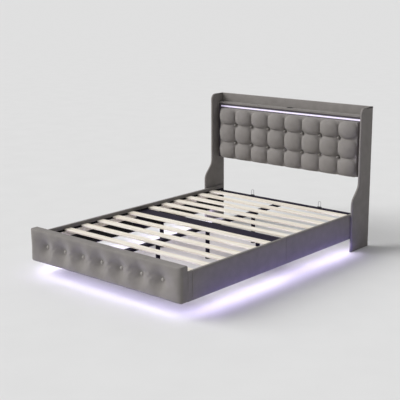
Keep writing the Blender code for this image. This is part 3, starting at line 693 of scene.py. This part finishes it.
padRows = padSpec["bottom"] + padHeight * np.concatenate([[0], np.cumsum(padSpec["rowShares"])])
padRows[-1] = padSpec["top"]


# Where a value lies in its cell of a row of edges, from -1 to 1
def inCell(values, edges):
    cell = np.clip(np.searchsorted(edges, values, side="right") - 1, 0, len(edges) - 2)
    return 2 * (values - edges[cell]) / (edges[cell + 1] - edges[cell]) - 1


# Cuts in each cell at e s + (1 - e) sin(pi s / 2) from its middle to its edges, s running evenly from -1 to 1
# and e being the even share, so that they lie closer together near the edges
def cellCuts(edges, cells, even):
    share = np.linspace(-1, 1, cells + 1)
    share = even * share + (1 - even) * np.sin(share * math.pi / 2)
    middle = (edges[1:] + edges[:-1]) / 2
    half = (edges[1:] - edges[:-1]) / 2
    cuts = middle[:, None] + half[:, None] * share[None, :]
    return np.unique(np.round(cuts.ravel(), joinDecimals))


# Depth of the pad's front at (x, z). With a and b from -1 to 1 across and up a tuft, and
# r = 1 - |a|^s - |b|^s + c |a b|^s, s being its squareness and c its corner fill, the depth is the seam's
# times 1 - f r^e - (1 - f) r, f being the tuft's fullness and e its edge power. This gives steep sides, a
# soft crown and seams that widen to a diamond where they cross. The seam's own depth goes from seamDepth to
# edgeDepth by exp(-(distance to the outline) / reach). Each crossing also sinks by
# pit exp(-(distance / radius)^4).
def padDepth(x, z, spec):
    across = np.abs(inCell(x, padColumns)) ** spec["squareness"]
    up = np.abs(inCell(z, padRows)) ** spec["squareness"]
    rise = np.clip(1 - across - up + spec["cornerFill"] * across * up, 0, 1)
    rise = spec["fullness"] * rise ** spec["edgePower"] + (1 - spec["fullness"]) * rise
    sideGap = spec["halfWidth"] - np.abs(x)
    endGap = np.minimum(z - spec["bottom"], spec["top"] - z)
    nearEdge = np.exp(-np.minimum(sideGap, endGap) / spec["edgeReach"])
    deepest = spec["seamDepth"] + (spec["edgeDepth"] - spec["seamDepth"]) * nearEdge
    depth = deepest * (1 - rise)
    for column in padColumns[1:-1]:
        for row in padRows[1:-1]:
            apart = ((x - column) ** 2 + (z - row) ** 2) / spec["pitRadius"] ** 2
            depth = depth + spec["pitDepth"] * np.exp(-(apart**2))
    return depth


# The pad's front and sides: a box open at the back, with its front at the depth above
def makePad(spec):
    xs = cellCuts(padColumns, spec["cellsPerTuft"], spec["evenShare"])
    zs = cellCuts(padRows, spec["cellsPerTuft"], spec["evenShare"])
    ys = np.linspace(spec["front"] + spec["edgeDepth"], spec["back"], spec["sideRows"])
    points, quads = boxSkin(xs, ys, zs)
    points, quads = openBack(points, quads, spec["back"])
    x = points[:, 0].copy()
    z = points[:, 2].copy()
    onFront = points[:, 1] < ys[0] + planeGap
    points[onFront, 1] = spec["front"] + padDepth(x, z, spec)[onFront]

    # Where a seam meets the outline, points pull in by notch exp(-(distance to the seam / width)^2) reach^p,
    # the reach going from 0 at the pad's middle to 1 at its outline and p being the power for an end or a
    # side. Then the four corners are made round.
    fromColumn = np.abs(x[:, None] - padColumns[None, 1:-1]).min(axis=1)
    fromRow = np.abs(z[:, None] - padRows[None, 1:-1]).min(axis=1)
    fromBack = (spec["back"] - points[:, 1]) / (spec["back"] - spec["front"])
    hold = np.clip(fromBack, 0, 1)
    middle = (spec["top"] + spec["bottom"]) / 2
    endReach = np.abs(z - middle) / (padHeight / 2)
    sideReach = np.abs(x) / spec["halfWidth"]
    endPull = np.sign(z - middle) * spec["notch"] * np.exp(-((fromColumn / spec["notchWidth"]) ** 2))
    sidePull = np.sign(x) * spec["notch"] * np.exp(-((fromRow / spec["notchWidth"]) ** 2))
    points[:, 2] -= endPull * endReach ** spec["endPower"] * hold
    points[:, 0] -= sidePull * sideReach ** spec["sidePower"] * hold
    half = np.array([spec["halfWidth"], padHeight / 2])
    plan = np.stack([points[:, 0], points[:, 2] - middle], axis=1)
    core = np.clip(plan, -half + spec["cornerRadius"], half - spec["cornerRadius"])
    away = plan - core
    longest = np.abs(away).max(axis=1)
    reach = np.linalg.norm(away, axis=1)
    plan = core + away * np.where(reach > tiny, longest / np.maximum(reach, tiny), 1)[:, None]
    points[:, 0] = plan[:, 0]
    points[:, 2] = plan[:, 1] + middle

    piece = newPiece("tufted_pad", points, quads, greyCloth)
    seam = (fromColumn < spec["seamPin"]) | (fromRow < spec["seamPin"])
    pinned = seam | ~onFront | (spec["halfWidth"] - np.abs(x) < spec["seamPin"])
    pinned |= np.minimum(z - spec["bottom"], spec["top"] - z) < spec["seamPin"]
    inflate(piece, pinned, spec)
    smoothOnce(piece)
    closeBack(piece, spec["back"], spec["pocket"])
    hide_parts("headboard_pad")
    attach(piece, bedBody)


makePad(padSpec)
print("headboard pad made")


# Footboard cushion: a long rounded cushion with a row of dimples
footSpec = {
    "halfWidth": 0.720,
    "bottom": 0.100,
    "top": 0.334,
    "front": -1.078,
    "back": -1.014,
    "edge": 0.012,
    "endLength": 0.050,
    "endDepth": 0.018,
    "cell": 0.0065,
    "sideRows": 5,
    "tuftCount": 7,
    "tuftPitch": 0.184,
    "tuftShift": -0.015,
    "tuftHeight": 0.215,
    "tuftDepth": 0.040,
    "tuftSpread": 0.052,
    "tuftStretch": 1.3,
    "tuftPower": 1.5,
    "valleyDepth": 0.002,
    "valleySpread": 0.050,
    "tuftPin": 0.012,
    "pinnedShare": 0.5,
    "stiffness": 15.0,
    "bending": 2.0,
    "pressure": 1.5,
    "spare": 0.0,
    "cap": 0.002,
    "pocket": {"halfWidth": 0.7083, "low": 0.1117, "high": 0.3223, "depth": 0.0183},
}
footMiddle = (footSpec["tuftCount"] - 1) // 2
footTufts = footSpec["tuftShift"] + footSpec["tuftPitch"] * (np.arange(footSpec["tuftCount"]) - footMiddle)


# Depth at (x, z): end (1 - sqrt(1 - c^2)) + valley exp(-(h / spread)^2) + sum of tuft exp(-(r / spread)^p),
# with c from 0 to 1 over the length that rolls off at each end, h the height over the row of tufts, p the
# tuft power and r the distance from a tuft, whose upward share is divided by the tuft's stretch
def footDepth(x, z, spec):
    rolled = np.clip(1 - (spec["halfWidth"] - np.abs(x)) / spec["endLength"], 0, 1)
    depth = spec["endDepth"] * (1 - np.sqrt(1 - rolled**2))
    depth = depth + spec["valleyDepth"] * np.exp(-(((z - spec["tuftHeight"]) / spec["valleySpread"]) ** 2))
    for tuft in footTufts:
        apart = np.hypot(x - tuft, (z - spec["tuftHeight"]) / spec["tuftStretch"]) / spec["tuftSpread"]
        depth = depth + spec["tuftDepth"] * np.exp(-(apart ** spec["tuftPower"]))
    return depth


# The cushion's front and sides: a rounded box open at the back, whose points sink by the depth above times
# their share of the way from the back to the front
def makeFootCushion(spec):
    radius = spec["edge"]
    low = np.array([-spec["halfWidth"], spec["front"], spec["bottom"]])
    high = np.array([spec["halfWidth"], spec["back"] + radius, spec["top"]])
    cuts = []
    for axis in (0, 2):
        cells = int((high[axis] - low[axis] - 2 * radius) / spec["cell"])
        cuts.append(sideCuts(low[axis], high[axis], radius, edgeTurns, cells))
    rolled = spec["front"] + radius * (1 - np.tan(np.linspace(math.pi / 4, 0, edgeTurns + 1)))
    ys = np.concatenate([rolled, np.linspace(spec["front"] + radius, spec["back"], spec["sideRows"])[1:]])
    points, quads = boxSkin(cuts[0], ys, cuts[1])
    points, quads = openBack(points, quads, spec["back"])
    points = roundedBox(points, low, high, radius)
    fromBack = (spec["back"] - points[:, 1]) / (spec["back"] - spec["front"])
    points[:, 1] += footDepth(points[:, 0], points[:, 2], spec) * fromBack
    piece = newPiece("footboard_cushion_cover", points, quads, greyCloth)
    fromTuft = np.hypot(points[:, 0][:, None] - footTufts[None], (points[:, 2] - spec["tuftHeight"])[:, None])
    pinned = (fromTuft.min(axis=1) < spec["tuftPin"]) | (fromBack < spec["pinnedShare"])
    inflate(piece, pinned, spec)
    smoothOnce(piece)
    closeBack(piece, spec["back"], spec["pocket"])
    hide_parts("footboard_cushion")
    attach(piece, bedBody)


makeFootCushion(footSpec)
print("footboard cushion made")


# A shape turned about an axis that points to -Y. Its profile gives (radius, how far forward). Each ring's
# points lie at radius (cos a, sin a) in X and Z, and the first and the last entry are points on the axis.
def turned(name, profile, sides, centre, material):
    angle = np.linspace(0, 2 * math.pi, sides, endpoint=False)
    inner = np.asarray(profile[1:-1])
    rings = np.empty((len(inner), sides, 3))
    rings[:, :, 0] = inner[:, :1] * np.cos(angle)
    rings[:, :, 2] = inner[:, :1] * np.sin(angle)
    rings[:, :, 1] = -inner[:, 1:]
    ends = np.array([[0, -profile[0][1], 0], [0, -profile[-1][1], 0]])
    points = np.concatenate([rings.reshape(-1, 3), ends]) + np.asarray(centre)
    last = (len(inner) - 1) * sides
    around = np.arange(sides)
    onward = (around + 1) % sides
    firstFan = np.stack([np.full(sides, last + sides), onward, around], axis=1)
    lastFan = np.stack([np.full(sides, last + sides + 1), last + around, last + onward], axis=1)
    quads = gridQuads(len(inner), sides, wrapped=True)
    faces = quads.tolist() + firstFan.tolist() + lastFan.tolist()
    return newPiece(name, points, faces, material)


buttonShape = {
    "steps": 8,
    "sides": 24,
    "domeStart": 0.25,
    "footShare": 0.8,
    "edgeShare": 0.97,
    "edgeHeightShare": 0.08,
    "weld": 0.00001,
}


# Satin-covered button. Over its edge stands a dome of radius cos a at height (d + (1 - d) sin a), with a from
# 0 to 90 degrees and d the share of the height at which it starts.
def makeButton(name, centre, radius, height):
    start = buttonShape["domeStart"]
    angle = np.linspace(0, math.pi / 2, buttonShape["steps"])
    dome = [(radius * math.cos(a), height * (start + (1 - start) * math.sin(a))) for a in angle[:-1]]
    foot = (radius * buttonShape["footShare"], 0)
    edge = (radius * buttonShape["edgeShare"], height * buttonShape["edgeHeightShare"])
    profile = [(0, 0), foot, edge, *dome, (0, height)]
    button = turned(name, profile, buttonShape["sides"], centre, satin)
    weld(button, buttonShape["weld"])
    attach(button, bedBody)


padButton = {"radius": 0.0095, "height": 0.030, "sunk": 0.0470}
for column, x in enumerate(padColumns[1:-1]):
    for row, z in enumerate(padRows[1:-1]):
        centre = (x, padSpec["front"] + padButton["sunk"], z)
        makeButton(f"pad_button_{row + 1}_{column + 1}", centre, padButton["radius"], padButton["height"])
footButton = {"radius": 0.0125, "height": 0.008, "sunk": 0.0395}
for number, x in enumerate(footTufts):
    centre = (x, footSpec["front"] + footButton["sunk"], footSpec["tuftHeight"])
    makeButton(f"footboard_button_{number + 1}", centre, footButton["radius"], footButton["height"])
print("buttons made")


endSharp = math.radians(50)


# Round tube along a route of points in one plane (X, Z), with flat closed ends. Each ring's points lie at
# radius (outward cos a + sideways sin a) from a point of the route.
def makeTube(name, route, radius, sides, material):
    route = np.asarray(route)
    ahead = np.gradient(route, axis=0)
    ahead /= np.linalg.norm(ahead, axis=1, keepdims=True)
    sideways = np.array([0.0, 1.0, 0.0])
    outward = np.cross(ahead, sideways)
    angle = np.linspace(0, 2 * math.pi, sides, endpoint=False)
    ring = np.cos(angle)[None, :, None] * outward[:, None] + np.sin(angle)[None, :, None] * sideways
    points = (route[:, None] + radius * ring).reshape(-1, 3)
    quads = gridQuads(len(route), sides, wrapped=True)
    piece = newPiece(name, points, quads, material)
    shape = bmesh.new()
    shape.from_mesh(piece.data)
    bmesh.ops.holes_fill(shape, edges=[edge for edge in shape.edges if edge.is_boundary], sides=0)
    bmesh.ops.recalc_face_normals(shape, faces=shape.faces)
    shape.to_mesh(piece.data)
    shape.free()
    piece.data.set_sharp_from_angle(angle=endSharp)
    return piece


hoopSpec = {"width": 0.026, "wire": 0.003, "turns": 24, "sides": 12}
for hoopName in ("mattress_hoop_left", "mattress_hoop_right"):
    low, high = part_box(hoopName)
    reach = (hoopSpec["width"] - hoopSpec["wire"]) / 2
    middle = (low + high) / 2
    crown = high.z - hoopSpec["wire"] / 2 - reach
    turn = np.linspace(0, math.pi, hoopSpec["turns"] + 1)
    arch = np.stack([reach * np.cos(turn), np.zeros(len(turn)), crown + reach * np.sin(turn)], axis=1)
    centre = np.array([middle.x, middle.y, 0])
    route = np.concatenate([[[reach, 0, low.z]], arch, [[-reach, 0, low.z]]]) + centre
    radius = hoopSpec["wire"] / 2
    hoop = makeTube(hoopName + "_wire", route, radius, hoopSpec["sides"], brightWire)
    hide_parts(hoopName)
    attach(hoop, bedBody)
print("hoops made")


# Black hook tape along the top of each cleat, pressed flat under the slats that it holds
tapeSpec = {
    "top": 0.00025,
    "lift": 0.00002,
    "margin": 0.0004,
    "radius": 0.0001,
    "turns": 2,
    "cells": (4, 80, 1),
}
for cleatName in ("cleat_front_left", "cleat_front_right", "cleat_rear_left", "cleat_rear_right"):
    low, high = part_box(cleatName)
    margin = tapeSpec["margin"]
    tapeLow = np.array([low.x + margin, low.y + margin, high.z + tapeSpec["lift"]])
    tapeHigh = np.array([high.x - margin, high.y - margin, high.z + tapeSpec["top"]])
    cuts = []
    for axis, cells in enumerate(tapeSpec["cells"]):
        cuts.append(sideCuts(tapeLow[axis], tapeHigh[axis], tapeSpec["radius"], tapeSpec["turns"], cells))
    points, quads = boxSkin(*cuts)
    points = roundedBox(points, tapeLow, tapeHigh, tapeSpec["radius"])
    tape = newPiece("hook_tape_" + cleatName, points, quads, hookTape)
    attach(tape, bedBody)
print("hook tape laid")

# Floor, light and camera
floorHalf = 600
floorCorners = [(x * floorHalf, y * floorHalf, 0) for x, y in ((-1, -1), (1, -1), (1, 1), (-1, 1))]
floorMesh = bpy.data.meshes.new("floor")
floorMesh.from_pydata(floorCorners, [], [(0, 1, 2, 3)])
floor = bpy.data.objects.new("floor", floorMesh)
scene.collection.objects.link(floor)
floorMaterial, floorTree, floorShader = blankMaterial("pale matt floor", {"Roughness": 0.9})
floorShader.inputs["Specular IOR Level"].default_value = 0.0
floorGrain = noiseOf(floorTree, ownPlace(floorTree), sizeMm=300, detail=2.0)
floorTree.links.new(tones(floorTree, floorGrain, "#DCDCDC", "#DEDEDE"), floorShader.inputs["Base Color"])
floor.data.materials.append(floorMaterial)

# The window light comes over the foot's left corner. The sky's light is dimmed by 1 - (s . d), with s the
# direction it comes from and d the dark side. Camera, glossy and transmission rays see the backdrop instead.
light = {
    "sunStrength": 3.3,
    "sunAngle": 45,
    "heading": (0.82, 0.572),
    "elevation": 35,
    "sky": 0.425,
    "darkSide": (0.38, 0.0, 0.0),
    "backdrop": 0.723,
}
sunData = bpy.data.lights.new("window light", "SUN")
sunData.energy = light["sunStrength"]
sunData.angle = math.radians(light["sunAngle"])
sun = bpy.data.objects.new("window light", sunData)
slope = math.tan(math.radians(light["elevation"])) * math.hypot(*light["heading"])
sun.rotation_euler = Vector((*light["heading"], -slope)).to_track_quat("-Z", "Y").to_euler()
scene.collection.objects.link(sun)

# Light of the floor strips thrown back up from the floor beside the right rail and before the footboard, and
# light that spills onto the floor beside the rail, behind the footboard and under the middle of the slats.
# Each lamp has its place, its two sides, its watts a square metre, its colour and its turn about X.
glowHeight = 0.004
spillHeight = 0.09
glowLamps = {
    "rail glow": ((0.79, -0.05, glowHeight), (0.10, 1.76), 8.5, "#6A48FF", math.pi),
    "footboard glow": ((0.0, -1.10, glowHeight), (1.4, 0.04), 9.0, "#6A48FF", math.pi),
    "rail spill": ((0.795, -0.05, spillHeight), (0.02, 1.76), 10.5, "#CDBEFF", 0),
    "inner spill": ((-0.22, 0.20, spillHeight), (0.65, 1.10), 0.8, "#FFF0FB", 0),
    "foot spill": ((0.0, -0.95, spillHeight), (1.36, 0.02), 11.0, "#CBBFFF", 0),
}
for glowName, (place, sides, power, glowHex, turn) in glowLamps.items():
    glowData = bpy.data.lights.new(glowName, "AREA")
    glowData.shape = "RECTANGLE"
    glowData.size = sides[0]
    glowData.size_y = sides[1]
    glowData.energy = power * sides[0] * sides[1]
    glowData.color = toLinear(glowHex)
    glowLamp = bpy.data.objects.new(glowName, glowData)
    glowLamp.location = place
    glowLamp.rotation_euler = (turn, 0, 0)
    glowLamp.visible_camera = False
    scene.collection.objects.link(glowLamp)

world = bpy.data.worlds.new("studio")
scene.world = world
world.use_nodes = True
skyTree = world.node_tree
background = skyTree.nodes["Background"]
background.inputs["Color"].default_value = (1, 1, 1, 1)
path = addNode(skyTree, "ShaderNodeLightPath")
seen = mathNode(skyTree, "MAXIMUM", path.outputs["Is Camera Ray"], path.outputs["Is Glossy Ray"])
seen = mathNode(skyTree, "MAXIMUM", seen, path.outputs["Is Transmission Ray"])
skyPlace = addNode(skyTree, "ShaderNodeTexCoord").outputs["Generated"]
dimming = mathNode(skyTree, "SUBTRACT", 1.0, alongOf(skyTree, skyPlace, light["darkSide"]))
dome = mathNode(skyTree, "MULTIPLY", dimming, light["sky"])
shown = mathNode(skyTree, "MULTIPLY", seen, light["backdrop"])
hidden = mathNode(skyTree, "MULTIPLY", mathNode(skyTree, "SUBTRACT", 1.0, seen), dome)
skyTree.links.new(mathNode(skyTree, "ADD", shown, hidden), background.inputs["Strength"])

camera = {
    "place": (4.2109, -4.8942, 1.9874),
    "azimuth": 41.1308,
    "down": 13.3846,
    "roll": -0.28494,
    "lens": 81.032,
    "sensor": 36,
    "farEnd": 2000,
}
azimuth = math.radians(camera["azimuth"])
down = math.radians(camera["down"])
roll = math.radians(camera["roll"])
forward = Vector((-math.sin(azimuth) * math.cos(down), math.cos(azimuth) * math.cos(down), -math.sin(down)))
level = Vector((math.cos(azimuth), math.sin(azimuth), 0))
upright = level.cross(forward)
right = math.cos(roll) * level + math.sin(roll) * upright
upward = math.cos(roll) * upright - math.sin(roll) * level
cameraData = bpy.data.cameras.new("camera")
cameraData.lens = camera["lens"]
cameraData.sensor_width = camera["sensor"]
cameraData.clip_end = camera["farEnd"]
cameraObject = bpy.data.objects.new("camera", cameraData)
turning = Matrix((right, upward, -forward)).transposed().to_4x4()
cameraObject.matrix_world = Matrix.Translation(camera["place"]) @ turning
scene.collection.objects.link(cameraObject)
scene.camera = cameraObject
scene.view_settings.view_transform = "Standard"
print("floor, light and camera placed")

bpy.context.view_layer.update()
